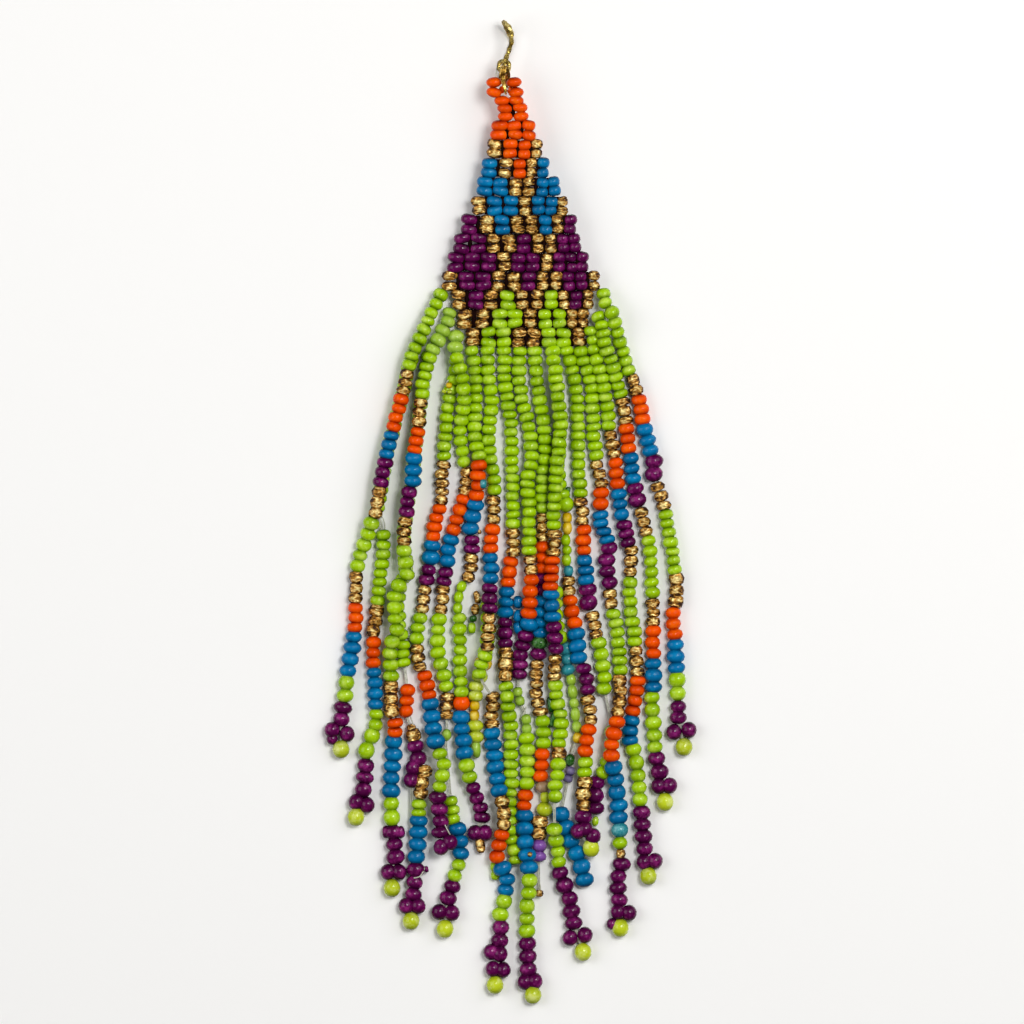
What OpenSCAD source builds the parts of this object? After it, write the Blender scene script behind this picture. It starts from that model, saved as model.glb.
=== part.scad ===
// A long beaded fringe earring, lying face up on a flat surface at z = 0.
// The picture's up is +Y and its right is +X. The ear hook hangs under the top end with its arch
// turned down, so it props the woven panel up and the panel slopes down to the fringe.
// The fringe is twenty strings of seed beads that lie side by side, a few of them on top of others.

/* [Beads] */
// Outer diameter of a seed bead, and so of a string
bead_d = 2; // [1.8:0.1:2]
// Length of an end bead along its string, as a share of its diameter
end_bead_share = 0.7; // [0.6:0.05:0.8]

/* [Woven panel] */
// Thickness of the panel, one bead
panel_t = 2; // [1.6:0.1:2]
// Height of one row, which is two beads
row_pitch = 2.83; // [2.7:0.01:2.83]
// Height of the neck above the rows
neck_h = 3.3; // [3:0.1:3.3]
// Height of the two prongs above the neck
prong_h = 3.3; // [3:0.1:3.3]
// Diameter of the hole that the link goes through
link_hole_d = 0.7; // [0.7:0.05:0.8]

/* [Ear hook and link] */
// Thickness of the hook's wire
hook_wire_d = 0.8; // [0.7:0.05:0.8]
// Radius of the eye, to the middle of its wire
eye_r = 0.8; // [0.8:0.05:0.9]
// Height of the eye over the surface
eye_z = 5; // [4.9:0.05:5.1]
// Thickness of the link's wire
link_wire_d = 0.36; // [0.3:0.02:0.38]

/* [Hidden] */
$fn = 48;
bead_r = bead_d / 2;
hook_wire_r = hook_wire_d / 2;

// Moves the middle of the whole earring's box onto the Z axis.
to_middle = [0.06, -0.355, 0];

// The panel's lower edge and its slope.
panel_foot = [0, 24.8, 1.05];
panel_slope = 5.6;
// Left and right edge of each row, from the lowest row up. The rows that end short of the widest
// one leave room for the strings that start beside them.
row_edges = [
    [-6.6, 10.9], [-7.9, 11.9], [-8.9, 12.5], [-10.2, 13.3],
    [-9.3, 11.9], [-8.4, 10.6], [-7.3, 9.9], [-5.9, 8.8],
    [-5, 7.4], [-4.2, 5.9], [-3.5, 4.9], [-2.8, 3.6]
];
neck_edges = [-2.4, 2.5];
prong_edges = [[-3.6, -1.5], [-0.5, 1.8]];
rows_h = len(row_edges) * row_pitch;
notch_foot = 1.73;
link_hole = [-0.8, rows_h + neck_h + 0.87];

// The hook: its eye, the wire from the eye over the arch, and the straight tail under it.
eye = [-1.05, 66.75, eye_z];
hook_route = [
    [-1, 67.5, eye_z], [-0.8, 68, eye_z], [-0.45, 68.7, eye_z], [0.15, 69.8, eye_z],
    [0.4, 70.8, 5], [0.2, 71.9, 5], [-0.3, 72.8, 4.8], [-0.8, 73.3, 4.2],
    [-1.1, 73.45, 3.2], [-1, 73.1, 2.1], [-0.6, 72.3, 1.1], [-0.1, 71.3, 0.55],
    [0.1, 70.5, hook_wire_r], [0, 70.2, hook_wire_r]
];
tail_start = [0.1, 70.5, hook_wire_r];
tail_end = [-1.55, 65.4, hook_wire_r];
tip_l = 0.3;
hook_sides = 12;

// The link is one closed loop: down through the eye, back under the panel, and up its hole.
link_route = [
    [-0.8, 62.65, 5.7], [-0.85, 62.9, 6.15], [-0.95, 63.5, 6.22], [-1.15, 64.4, 6.05],
    [-1.25, 65.4, 5.75], [-1.15, 66.2, 5.7], [-1.05, 66.65, 5.4], [-1, 66.75, 4.9],
    [-0.95, 66.65, 4.45], [-0.7, 66.1, 4.1], [-0.5, 65.3, 3.75], [-0.5, 64.6, 3.6],
    [-0.65, 63.8, 3.45], [-0.75, 63.05, 3.4], [-0.8, 62.75, 3.95]
];
string_sides = 8;

// Each string from left to right: its route, then the pair of beads side by side near its foot
// as [x, y, z, half width], then the small bead at its tip as [x, y, z, radius].
// An empty list means that the string has none.
strings = [
    [[[-10.4, 32.8, 1.9], [-11.7, 30.3, 2.5], [-13.5, 26.6, 3.05], [-15.2, 22.4, 3.05],
      [-16.1, 18.2, 3.05], [-16.8, 15.8, 3.05], [-17.6, 12.8, 3.05], [-18.6, 8.6, 3.05],
      [-19.5, 4.4, 3.05], [-20.3, 0.2, 3.05], [-20.9, -1.7, 2.6], [-21.6, -3.6, 1.8],
      [-22.4, -5.8, 1], [-23, -8.1, 1], [-23.4, -12.6, 1], [-23.4, -17.4, 1],
      [-24.5, -23.6, 1], [-24.9, -27.3, 1], [-25.5, -31.4, 1]],
     [-25.7, -33, 1, 2.1], [-25.5, -35.7, 1, 0.9]],
    [[[-13.5, 26.4, 1], [-15.2, 22.4, 1], [-16.1, 18.2, 1], [-16.8, 15.8, 1],
      [-17.6, 12.8, 1], [-18.6, 8.6, 1], [-19.4, 4.4, 1], [-19.9, 0.2, 1],
      [-19.2, -3.5, 1], [-19.1, -5, 1], [-19.4, -8.2, 1], [-20, -13.2, 1],
      [-20.6, -18, 1], [-20.6, -22.5, 1], [-20.3, -29, 1], [-20.4, -31.8, 1],
      [-20.9, -33.8, 1], [-21.8, -36, 1], [-21.8, -38.2, 1], [-22.2, -42.2, 1]],
     [-22.4, -43.8, 1, 1.8], [-23.2, -45.8, 1, 0.9]],
    [[[-9.1, 30.1, 1.6], [-9.8, 28.5, 1.9], [-11.1, 26.1, 2.5], [-12.2, 24.2, 3.05],
      [-12.8, 21.3, 3.05], [-13.5, 16.4, 3.05], [-14, 12, 3.05], [-14.6, 8.1, 3.05],
      [-14.8, 4.7, 3.05], [-15.5, 1.8, 3.05], [-15.8, -1.2, 3.05], [-16.1, -4.4, 3.05],
      [-15.7, -7.7, 3.05], [-15.6, -9.6, 3.05], [-17.3, -11.7, 3.05], [-17.4, -15.5, 3.05],
      [-17.1, -18, 2.8], [-18, -19.8, 2.5], [-18, -24.6, 1], [-18, -28, 1.3],
      [-17.9, -30, 2], [-17.4, -31.7, 2.3], [-17.4, -33.2, 1.6], [-17.7, -36, 1],
      [-18, -42, 1], [-17.9, -45.9, 1], [-17.3, -52.3, 1]],
     [-17.6, -54, 1, 1.8], [-17.9, -56.5, 1, 0.9]],
    [[[-12.2, 24, 1], [-12.8, 21.3, 1], [-13.5, 16.4, 1], [-14, 12, 1],
      [-14.6, 8.1, 1], [-14.8, 4.7, 1], [-15.5, 1.8, 1], [-15.8, -1.2, 1],
      [-16.1, -4.4, 1], [-15.9, -8.5, 1], [-16.8, -12, 1], [-16.8, -16, 1],
      [-16.3, -20, 1], [-16, -23, 1], [-15.5, -26, 1], [-15.7, -29, 1],
      [-15.8, -30.6, 1], [-14.9, -32.4, 1], [-14.4, -34.2, 1], [-14, -36.6, 1],
      [-13.1, -38.9, 1], [-13.6, -42, 1], [-13.8, -45, 1], [-14, -49.2, 1],
      [-14.7, -57.5, 1]],
     [-14.9, -59.2, 1, 1.9], [-15, -61.5, 1, 0.9]],
    [[[-8.2, 23.4, 1], [-8.4, 20.6, 1], [-9, 18.3, 1], [-9.3, 16.8, 1],
      [-9.8, 12.6, 1], [-10.1, 8.4, 1], [-10.4, 4.5, 1], [-10.4, 2, 1],
      [-11.2, -0.9, 1], [-11.7, -3.8, 1], [-12, -6.9, 1], [-12.7, -10.2, 1],
      [-13.3, -14.6, 1], [-14.2, -18.6, 1], [-13.7, -23.4, 1], [-12.9, -24.8, 1],
      [-12.3, -27.5, 1], [-11.9, -31, 1.2], [-11.4, -34.4, 2.6], [-10.1, -38, 3.05],
      [-10.6, -41.1, 3.05], [-10.9, -42.8, 2.8], [-10.7, -45.5, 2.1], [-10.5, -48.3, 2.2]],
     [-9.8, -49.9, 2.6, 1.7], []],
    [[[-8.4, 26.9, 1.4], [-8.3, 25.2, 2.3], [-8.2, 23.7, 3.05], [-7.4, 20.4, 3.05],
      [-7.1, 18.4, 2.9], [-7, 16.8, 2.3], [-7.5, 13.8, 1.1], [-7.6, 10.5, 1],
      [-7, 7.5, 1], [-6.7, 6, 1], [-6.8, 3.3, 1], [-7.7, 0.5, 1],
      [-8.7, -2.6, 1], [-9.6, -7.4, 1], [-10, -10.4, 1], [-10.5, -14.6, 1],
      [-11.1, -19.4, 1], [-10.5, -23.1, 1], [-9.8, -25.8, 1], [-9.6, -30.8, 1],
      [-9.8, -35.7, 1], [-9.8, -41, 1], [-9, -43.4, 1], [-8.7, -46, 1],
      [-8, -47.8, 1], [-7.5, -51, 1], [-8.4, -54.5, 1], [-9.5, -58.4, 1]],
     [-9.8, -60.2, 1, 2], [-9.9, -62.6, 1, 0.9]],
    [[[-5.9, 24.5, 1.05], [-5.4, 21, 1], [-5.3, 17, 1], [-5.5, 11, 1.3],
      [-4.8, 8.3, 2.3], [-4.9, 6, 2.4], [-5, 3.8, 2.4], [-5.4, 1, 1.3],
      [-6.1, -2.7, 1], [-5.9, -4.2, 1], [-6.2, -9.5, 1], [-7.5, -11.4, 1],
      [-8, -13.8, 1], [-7.7, -16.2, 1], [-7.7, -21.5, 1], [-7.5, -26.7, 1],
      [-7.5, -30.8, 1], [-7.3, -33, 1.6], [-7, -35.7, 2], [-6.6, -38, 2.4],
      [-5.7, -41.4, 1.4], [-5.1, -43.2, 1], [-4.4, -45, 1], [-4.6, -46.7, 1]],
     [-4.7, -48.3, 1, 1.8], [-4.4, -50.2, 1, 0.7]],
    [[[-3.4, -13.4, 1], [-3.5, -18, 1], [-4.2, -22.5, 1], [-5, -25.5, 1],
      [-5.4, -28, 1], [-5.4, -30.6, 1], [-5.3, -33.5, 1], [-5.2, -37.5, 1]],
     [], []],
    [[[-3.5, 24.5, 1.05], [-3.3, 20, 1], [-2.9, 17, 1], [-3.3, 12.3, 1],
      [-3.3, 9.3, 1], [-2.8, 6, 1], [-2.5, 3.3, 1], [-2.7, -1.2, 1],
      [-3.1, -5.6, 1], [-3, -8.4, 1.2], [-3.2, -12.4, 3.05], [-3.5, -20.2, 3.05],
      [-4, -21.8, 3.05], [-4.7, -23.7, 3.05], [-4.7, -25, 3.1], [-2.9, -27.3, 2.2],
      [-2.9, -31.5, 1], [-2.5, -36.9, 1], [-2, -40.7, 1.4], [-1.4, -43.5, 2.9],
      [-1.1, -47, 3], [-2.1, -51.5, 2], [-1.1, -53.6, 1.8], [-0.6, -55, 1.3],
      [-0.8, -56.8, 1], [-1.5, -60.2, 1], [-1.6, -64.2, 1], [-1.8, -65, 1]],
     [-2.1, -67.4, 1, 1.9], [-2.4, -71, 1, 0.9]],
    [[[-1, 24.5, 1.05], [-0.9, 19.6, 1], [-0.6, 17.1, 1], [0, 12.8, 1],
      [0.2, 6.9, 1], [0.3, -1.8, 1], [0.3, -6, 1], [-0.1, -7.7, 1],
      [-0.5, -10.7, 1], [-0.8, -14.9, 1], [-0.9, -22, 1.3], [-0.9, -24.8, 2],
      [-0.6, -27.5, 2.4], [-0.4, -29.6, 2], [-0.1, -32.4, 1], [0, -40.7, 1],
      [-0.2, -43.5, 1], [-0.2, -47, 1], [0, -49.5, 1], [0.6, -51.3, 1],
      [0.8, -53.6, 1]],
     [], []],
    [[[1.4, 24.5, 1.05], [1.2, 20.3, 1], [1.6, 17.3, 1], [2.2, 14.6, 1],
      [2.8, 11.6, 1.1], [3, 7.7, 1.9], [2.4, 3.8, 1.9], [2.7, 1.4, 2],
      [2.7, -3.9, 2], [2.8, -5.7, 2.1], [3.1, -8.9, 2.2], [3, -10.2, 2.2],
      [2.7, -14.9, 2.1], [2.7, -16.8, 1.8], [2.1, -18.6, 1.3], [1.4, -21.6, 1],
      [1.2, -24.9, 1], [1, -27.5, 1], [2, -29.9, 1], [2.4, -34, 1],
      [2.3, -40.8, 1], [2, -44.1, 1], [1.9, -47.3, 1.3], [2.1, -49.4, 1.8],
      [2.7, -53.3, 2.6], [2.7, -57, 2.6], [2.3, -59, 1.9], [2.4, -62.9, 1],
      [2.6, -68.9, 1]],
     [2.9, -70.4, 1, 1.8], [3.3, -72.5, 1, 0.9]],
    [[[3.6, 24.5, 1.05], [3.8, 20.6, 1], [4.4, 16, 1], [5, 13.2, 1],
      [5.1, 10.2, 1], [4.6, 4.8, 1], [4.6, 0.9, 1], [4.7, -5.7, 1],
      [4.8, -9, 1], [4.5, -13.4, 1], [4.4, -18, 1], [4.2, -21.3, 1],
      [3.9, -23, 1], [3.8, -26.3, 1], [3.9, -28.4, 1], [4.7, -31.4, 1],
      [4.8, -34.5, 1], [4.5, -39.6, 1], [5.1, -42.6, 1], [5, -44.7, 1],
      [4.4, -46.5, 1], [4.2, -50.1, 1], [4.1, -58.3, 1]],
     [], []],
    [[[6.2, 24.1, 1.3], [6.4, 22.8, 2.2], [6.6, 21.3, 3.05], [7.2, 16, 3.05],
      [7.5, 12.9, 3.05], [7.2, 9.9, 3.05], [6.9, 6.9, 3.05], [6.6, 2.5, 3.05],
      [6.4, -0.6, 2.5], [6.6, -3.3, 2.4], [6.4, -6, 2.6], [6.2, -8, 2.9],
      [6, -11, 3.05], [6.3, -15.8, 3.05], [6.6, -19.2, 3.05], [6.6, -22, 2.5],
      [6.5, -24.6, 1.8], [6.9, -28, 1.2], [7.5, -31.2, 1], [7.3, -34.5, 1.2],
      [7, -37.8, 2.1], [6.7, -41.4, 3], [6.5, -44.5, 3.1], [6.5, -46.2, 3],
      [6.6, -47.7, 2.5], [6.8, -50, 1.3], [7.2, -52.5, 1], [7.3, -54.2, 1], [8.1, -56.1, 1],
      [8.7, -57.9, 1], [9.5, -61.9, 1]],
     [10, -63.7, 1, 2.1], [10.8, -66, 1, 0.9]],
    [[[6.7, -11.2, 1], [6.7, -15.8, 1], [7.3, -18.8, 1], [8.2, -20.5, 1],
      [8.5, -21.9, 1], [8.4, -23.7, 1], [9.2, -25.4, 1], [9.7, -32, 1],
      [9.7, -33.9, 1], [9, -36, 1], [8.7, -39.5, 1], [7.8, -43.2, 1],
      [7.4, -45.3, 1], [8.1, -47.3, 1], [9.5, -50.4, 1], [10.1, -51.8, 1],
      [11.2, -55.6, 1]],
     [], []],
    [[[6.6, 21, 1], [7.2, 16, 1], [7.5, 12.9, 1], [7.2, 9.9, 1],
      [7, 6.9, 1], [7.3, 4, 1], [8.2, 1.4, 1], [8.4, -0.9, 1],
      [8.3, -4.2, 1], [8.4, -7.2, 1], [8.9, -13.4, 1], [9.5, -16.7, 1.4],
      [10.2, -21.9, 2], [11, -23.6, 1.8], [11.4, -26.7, 1.8], [11.9, -31.4, 1.9],
      [11.7, -32.9, 2.1], [11.1, -35.7, 2.2], [11.2, -37.5, 2.2], [11, -40.5, 2.2],
      [10.8, -46, 2.3]],
     [11.2, -48, 2.4, 2.1], [12, -50.4, 2, 0.9]],
    [[[8.3, 24.5, 1.05], [9, 21.5, 1], [9.4, 20.3, 1], [9.8, 17.7, 1],
      [10, 15.5, 1], [10, 10.2, 1], [10.4, 2.7, 1], [10.8, -1.4, 1],
      [10.9, -5.4, 1], [11.3, -10.2, 1], [11.7, -14.1, 1], [12.3, -15.6, 1],
      [12.8, -18.3, 1], [13.2, -19.7, 1], [13.7, -23.1, 1], [14.1, -24.8, 1],
      [14, -26.7, 1], [14.6, -29.2, 1], [15.1, -33, 1], [14.8, -36.5, 1],
      [13.6, -39.4, 1], [12.8, -40.9, 1], [12.7, -44.6, 1]],
     [], [12.8, -46.2, 1, 0.9]],
    [[[10.4, 24.5, 1.05], [10.9, 22.8, 1], [11.7, 20.1, 1], [12.2, 18.2, 1],
      [12.3, 12.6, 1], [12.8, 8.6, 1], [12.9, 7, 1], [13.5, 4.4, 1],
      [13.4, 1.4, 1], [13.5, -1.8, 1], [14.7, -5.4, 1], [14.4, -6.9, 1],
      [14.7, -10.5, 1], [15, -13.8, 1], [15.9, -18, 1], [16.4, -23.7, 1],
      [16.3, -27, 1.7], [16.1, -30, 2.9], [15.5, -32.9, 3.05], [14.9, -35.9, 3.05],
      [15.4, -38.2, 2.8], [15.8, -41, 1.4], [16.1, -44.4, 1], [16.5, -52.8, 1],
      [16.1, -54.6, 1], [16.2, -58.6, 1]],
     [16.6, -60.3, 1, 1.9], [16.4, -62.5, 1, 0.9]],
    [[[12.1, 27.3, 1.3], [12.5, 24.5, 1.2], [13, 22.1, 1.7], [13.5, 20.7, 1.55],
      [14.1, 17.9, 1.6], [14.6, 15.5, 1], [14.6, 13, 1], [15.4, 8.9, 1],
      [15.9, 4.4, 1], [16.6, -0.5, 1], [17.6, -4.7, 1], [18, -5.9, 1],
      [18, -9, 1], [17.8, -10.5, 1], [17.9, -13.7, 1], [18.6, -19.2, 1],
      [19, -25.4, 1], [18.5, -28.2, 1], [18, -31.3, 1], [17.8, -34.4, 1],
      [18.5, -35.9, 1], [19, -38.9, 1], [19.3, -43.1, 1], [20.1, -50.9, 1]],
     [20.8, -52.5, 1, 1.8], [20.6, -54.7, 1, 0.9]],
    [[[13.1, 29.6, 1.7], [13.7, 27.5, 2.5], [14.1, 24.9, 2.5], [14.9, 23.1, 2.2],
      [15.6, 20.4, 1.7], [16.4, 17.8, 1], [17.2, 13.8, 1], [17.7, 9.8, 1],
      [18.4, 4.8, 1], [19, 1.7, 1], [20.3, -2.9, 1], [21, -7.5, 1],
      [21.2, -12.2, 1], [21.3, -21, 1], [21.4, -25.7, 1], [21.2, -27.9, 1],
      [21.6, -35, 1], [22.3, -39.5, 1]],
     [23, -41.1, 1, 1.8], [23.1, -43.5, 1, 0.9]],
    [[[13.8, 33, 1.85], [14, 31.5, 2.2], [15, 30, 2.9], [15.6, 28.4, 2.7],
      [16.1, 26.7, 1.8], [16.7, 24.2, 1], [17.6, 21.3, 1], [18.8, 18.3, 1],
      [19.8, 13.8, 1], [20.9, 9.2, 1], [21.4, 7.6, 1], [21.4, 5.9, 1],
      [22.9, 0.9, 1], [23.6, -3, 1], [24.6, -8.6, 1], [24.8, -13.3, 1],
      [24.2, -15.8, 1], [24.5, -18.6, 1], [24.8, -23.3, 1], [24.9, -27, 1],
      [25.2, -31.3, 1]],
     [25.6, -32.9, 1, 2.1], [26, -35.4, 1, 0.9]]
];

function string_name(i) = str("strand_", i < 9 ? "0" : "", i + 1);

function unit(v) = v / norm(v);

// Direction of travel at place i of a list of places, which may be a closed loop.
function heading(places, i, closed) =
    let (n = len(places),
         before = closed ? places[(i + n - 1) % n] : places[max(i - 1, 0)],
         after = closed ? places[(i + 1) % n] : places[min(i + 1, n - 1)])
    unit(after - before);

// Points of the ring round one place, with its half width across and its half height up.
function ring(place, along, half_w, half_h, sides) =
    let (across = unit(cross(along, abs(along.z) > 0.9 ? [0, 1, 0] : [0, 0, 1])),
         up = cross(across, along))
    [for (k = [0:sides - 1])
        place + across * half_w * cos(360 * k / sides) + up * half_h * sin(360 * k / sides)];

// A tube through places, each with its own half width and half height.
module swept(places, half_ws, half_hs, sides, closed = false) {
    n = len(places);
    rings = [for (i = [0:n - 1]) each ring(places[i], heading(places, i, closed), half_ws[i],
                                           half_hs[i], sides)];
    last = closed ? n - 1 : n - 2;
    walls = [for (i = [0:last], k = [0:sides - 1])
        let (a = i * sides + k, b = i * sides + (k + 1) % sides,
             c = ((i + 1) % n) * sides + (k + 1) % sides, d = ((i + 1) % n) * sides + k)
        each [[a, b, c], [a, c, d]]];
    ends = closed ? [] : [[for (k = [sides - 1:-1:0]) k], [for (k = [0:sides - 1]) (n - 1) * sides + k]];
    polyhedron(rings, concat(walls, ends));
}

module wire(route, r, sides, closed = false) {
    radii = [for (p = route) r];
    swept(route, radii, radii, sides, closed);
}

// One bead string: the row of beads, the pair at its foot and the tip bead, as one tube.
module string(i) {
    route = strings[i][0];
    pair = strings[i][1];
    tip = strings[i][2];
    half_bead = bead_r * end_bead_share;
    pair_places = len(pair) == 0 ? [] : [for (s = [1, -1]) [pair.x, pair.y + s * half_bead, pair.z]];
    tip_places = len(tip) == 0 ? [] : [for (s = [1, 0, -1]) [tip.x, tip.y + s * tip[3] * end_bead_share, tip.z]];
    color("yellowgreen")
    translate(to_middle)
    swept(
        concat(route, pair_places, tip_places),
        concat([for (p = route) bead_r], [for (p = pair_places) pair[3]],
               [for (k = [0:1:len(tip_places) - 1]) k == 1 ? tip[3] : tip[3] * end_bead_share]),
        concat([for (p = route) bead_r], [for (p = pair_places) bead_r],
               [for (k = [0:1:len(tip_places) - 1]) k == 1 ? tip[3] : tip[3] * end_bead_share]),
        string_sides);
}

// Rows of beads sewn into one sheet, with a neck and two prongs that hold the link.
module woven_panel() {
    neck_top = rows_h + neck_h;
    left_side = [for (i = [0:len(row_edges) - 1], s = [0, 1]) [row_edges[i][0], (i + s) * row_pitch]];
    right_side = [for (i = [len(row_edges) - 1:-1:0], s = [1, 0]) [row_edges[i][1], (i + s) * row_pitch]];
    top_end = [
        [neck_edges[0], rows_h], [neck_edges[0], neck_top],
        [prong_edges[0][0], neck_top], [prong_edges[0][0], neck_top + prong_h],
        [prong_edges[0][1], neck_top + prong_h], [prong_edges[0][1], neck_top + notch_foot],
        [prong_edges[1][0], neck_top + notch_foot], [prong_edges[1][0], neck_top + prong_h],
        [prong_edges[1][1], neck_top + prong_h], [prong_edges[1][1], neck_top],
        [neck_edges[1], neck_top], [neck_edges[1], rows_h]
    ];
    color("goldenrod")
    translate(to_middle + panel_foot)
    rotate([panel_slope, 0, 0])
    translate([0, 0, -panel_t / 2])
    linear_extrude(panel_t)
    difference() {
        polygon(concat(left_side, top_end, right_side));
        translate(link_hole) circle(d = link_hole_d);
    }
}

// Brass wire: a closed eye, an arch, and a straight tail with a filed tip that goes through the ear.
module ear_hook() {
    tail = tail_end - tail_start;
    color("darkgoldenrod")
    translate(to_middle) {
        translate(eye) rotate_extrude() translate([eye_r, 0]) circle(hook_wire_r);
        wire(hook_route, hook_wire_r * 0.98, hook_sides);
        translate(tail_start)
        rotate([0, 90, atan2(tail.y, tail.x)]) {
            cylinder(h = norm(tail), r = hook_wire_r);
            translate([0, 0, norm(tail)]) cylinder(h = tip_l, r1 = hook_wire_r, r2 = hook_wire_r / 2);
        }
    }
}

module hook_link() {
    color("gold")
    translate(to_middle)
    wire(link_route, link_wire_d / 2, string_sides, true);
}

ear_hook();
hook_link();
woven_panel();
for (i = [0:len(strings) - 1]) string(i);
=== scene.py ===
import math
import random

import bmesh
import bpy
from mathutils import Matrix, Vector


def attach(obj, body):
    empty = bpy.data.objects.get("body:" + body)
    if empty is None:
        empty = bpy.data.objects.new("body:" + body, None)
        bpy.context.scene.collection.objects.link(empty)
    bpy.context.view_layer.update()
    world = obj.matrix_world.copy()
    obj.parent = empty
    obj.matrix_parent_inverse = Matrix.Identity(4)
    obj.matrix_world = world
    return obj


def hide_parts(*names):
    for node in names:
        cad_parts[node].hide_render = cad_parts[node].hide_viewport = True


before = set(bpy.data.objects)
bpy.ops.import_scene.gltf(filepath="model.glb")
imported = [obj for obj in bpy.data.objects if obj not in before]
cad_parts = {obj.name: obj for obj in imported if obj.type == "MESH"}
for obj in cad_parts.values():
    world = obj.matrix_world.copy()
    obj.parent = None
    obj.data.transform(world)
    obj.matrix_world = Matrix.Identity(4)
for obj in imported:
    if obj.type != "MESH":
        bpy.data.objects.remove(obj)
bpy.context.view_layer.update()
dice = random.Random(11)

# Woven panel
# Some two hundred seed beads sewn into one tapered sheet of twelve rows, each two beads high, with two
# short prongs of beads at its top. The beads are glass and gilt metal, held by nylon thread.

# Lengths are millimetres until a piece is finished: x to the right, y towards the hook, z off the table.
MM = 0.001
TO_MIDDLE = Vector((0.06, -0.355, 0))
PANEL_FOOT = Vector((0, 24.8, 1.05))
PANEL_SLOPE = math.radians(5.6)
ROW_PITCH = 2.83
# How far down a row the middles of its two beads lie, as shares of its pitch.
ROW_LAYERS = (0.25, 0.75)
# Every row but the lowest spreads its beads a little wider on the left.
LEFT_SPREAD = 0.2
PANEL_BEAD_R = 1.0
PANEL_BEAD_HALF_L = 0.8
# Beads in a row press on each other, so each is this much wider than its share of the row.
PANEL_BEAD_PRESS = 1.12
PANEL_BEAD_WIDEST = 1.32
# How far by chance a bead of the panel is off its place, how much it leans, and how wide it is.
PANEL_OFF_X = 0.16
PANEL_OFF_Y = 0.13
PANEL_OFF_Z = (-0.14, 0.02)
PANEL_LEAN_X = 0.26
PANEL_LEAN_Z = 0.1
PANEL_WIDTHS = (0.97, 1.03)
THREAD_R = 0.11
THREAD_Z = -0.1
# Thread passes several times between neighbouring beads of the panel; here it is drawn thick and near
# black, painted shade that fills the gaps between them.
WEAVE_SHADE_THREAD_R = 0.4
WEAVE_SHADE_THREAD_GAP = 0.1

# Each row from the top down: middle of its first and of its last bead, and the glaze of each bead. O is
# orange, B blue, P plum, L lime and A gilt.
PANEL_ROWS = [
    (-1.8, 2.55, "OOO"),
    (-2.4, 3.83, "AOOA"),
    (-3.15, 4.88, "BAOAB"),
    (-3.98, 6.39, "BBAABB"),
    (-4.86, 7.8, "ABBABBA"),
    (-6.23, 8.85, "PABAABAP"),
    (-7.38, 9.54, "PPAAPAAPP"),
    (-8.25, 10.8, "PPPAPPAPPP"),
    (-9.15, 12.3, "APPAAPAAPPA"),
    (-7.86, 11.55, "APALAALAPA"),
    (-6.9, 10.95, "AALLALLAA"),
    (-5.61, 10.17, "ALLAALLA"),
]
# The orange beads of the left prong and then of the right one, from the top down, as seen from above.
NECK_BEADS = [
    (-2.55, 64.35), (-2.55, 62.85), (-1.35, 61.6), (-0.9, 60.45), (-0.83, 59.25),
    (0.45, 64.35), (0.75, 62.85), (0.75, 61.65), (1.35, 60.6), (1.5, 59.25),
]
NECK_BEAD_R = 1.2
NECK_LEAN = 0.2
# A prong's thread ends this far inside the panel's first row.
NECK_THREAD_SUNK = 1
# The thread that bridges the prongs, and a loop of it on the left one, from the panel's foot up its slope.
BRIDGE = [(-1.35, 38.6, -0.5), (-0.7, 38.8, 0), (-0.1, 38.5, -0.4)]
BRIDGE_THREAD_R = THREAD_R * 1.5
BRIDGE_BEAD = (0.6, 0.5, 0.5)
PRONG_LOOP = [
    (-2.2, 41, -0.3), (-2.1, 41.9, -0.6), (-1.8, 42.4, -0.6), (-1.55, 41.4, -0.6), (-1.5, 40, -0.4),
]


def either_way(spread):
    """A number by chance, at most spread above or below zero."""
    return dice.uniform(-spread, spread)


def paint(red, green, blue):
    """A colour given as 0 to 255, turned into linear light."""
    return tuple((part / 255) ** 2.2 for part in (red, green, blue)) + (1,)


class Signal:
    """One socket of a material's nodes. Adding, subtracting or multiplying it adds Math nodes."""

    def __init__(self, tree, socket=None):
        self.tree = tree
        self.socket = socket

    def node(self, kind, settings, inputs, output=0):
        """A new node: its settings first, then a value or a link for each of its sockets."""
        made = self.tree.nodes.new(kind)
        for name, value in settings.items():
            if name == "stops":
                ramp = made.color_ramp.elements
                for place, colour in value[2:]:
                    ramp.new(place)
                for stop, (place, colour) in zip(ramp, value):
                    stop.position = place
                    stop.color = colour
            else:
                setattr(made, name, value)
        for name, value in inputs.items():
            if isinstance(value, Signal):
                self.tree.links.new(value.socket, made.inputs[name])
            else:
                made.inputs[name].default_value = value
        return Signal(self.tree, made.outputs[output])

    def math(self, operation, first, second):
        return self.node("ShaderNodeMath", {"operation": operation}, {0: first, 1: second})

    def __add__(self, other):
        return self.math("ADD", self, other)

    def __sub__(self, other):
        return self.math("SUBTRACT", self, other)

    def __rsub__(self, other):
        return self.math("SUBTRACT", other, self)

    def __mul__(self, other):
        return self.math("MULTIPLY", self, other)

    __radd__ = __add__
    __rmul__ = __mul__


def blend_colours(first, second, share):
    """Mixes two colours, share of the second."""
    return share.node("ShaderNodeMix", {"data_type": "RGBA"}, {0: share, 6: first, 7: second}, 2)


def new_finish(name):
    """A material, its shader, and the place on the piece that its patterns follow."""
    material = bpy.data.materials.new(name)
    material.use_nodes = True
    place = Signal(material.node_tree).node("ShaderNodeTexCoord", {}, {}, "Object")
    return material, material.node_tree.nodes["Principled BSDF"], place


def bead_value(place, name):
    """A number that a bead's mesh carries: its crown, tone or top."""
    return place.node("ShaderNodeAttribute", {"attribute_name": name}, {}, "Fac")


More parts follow.
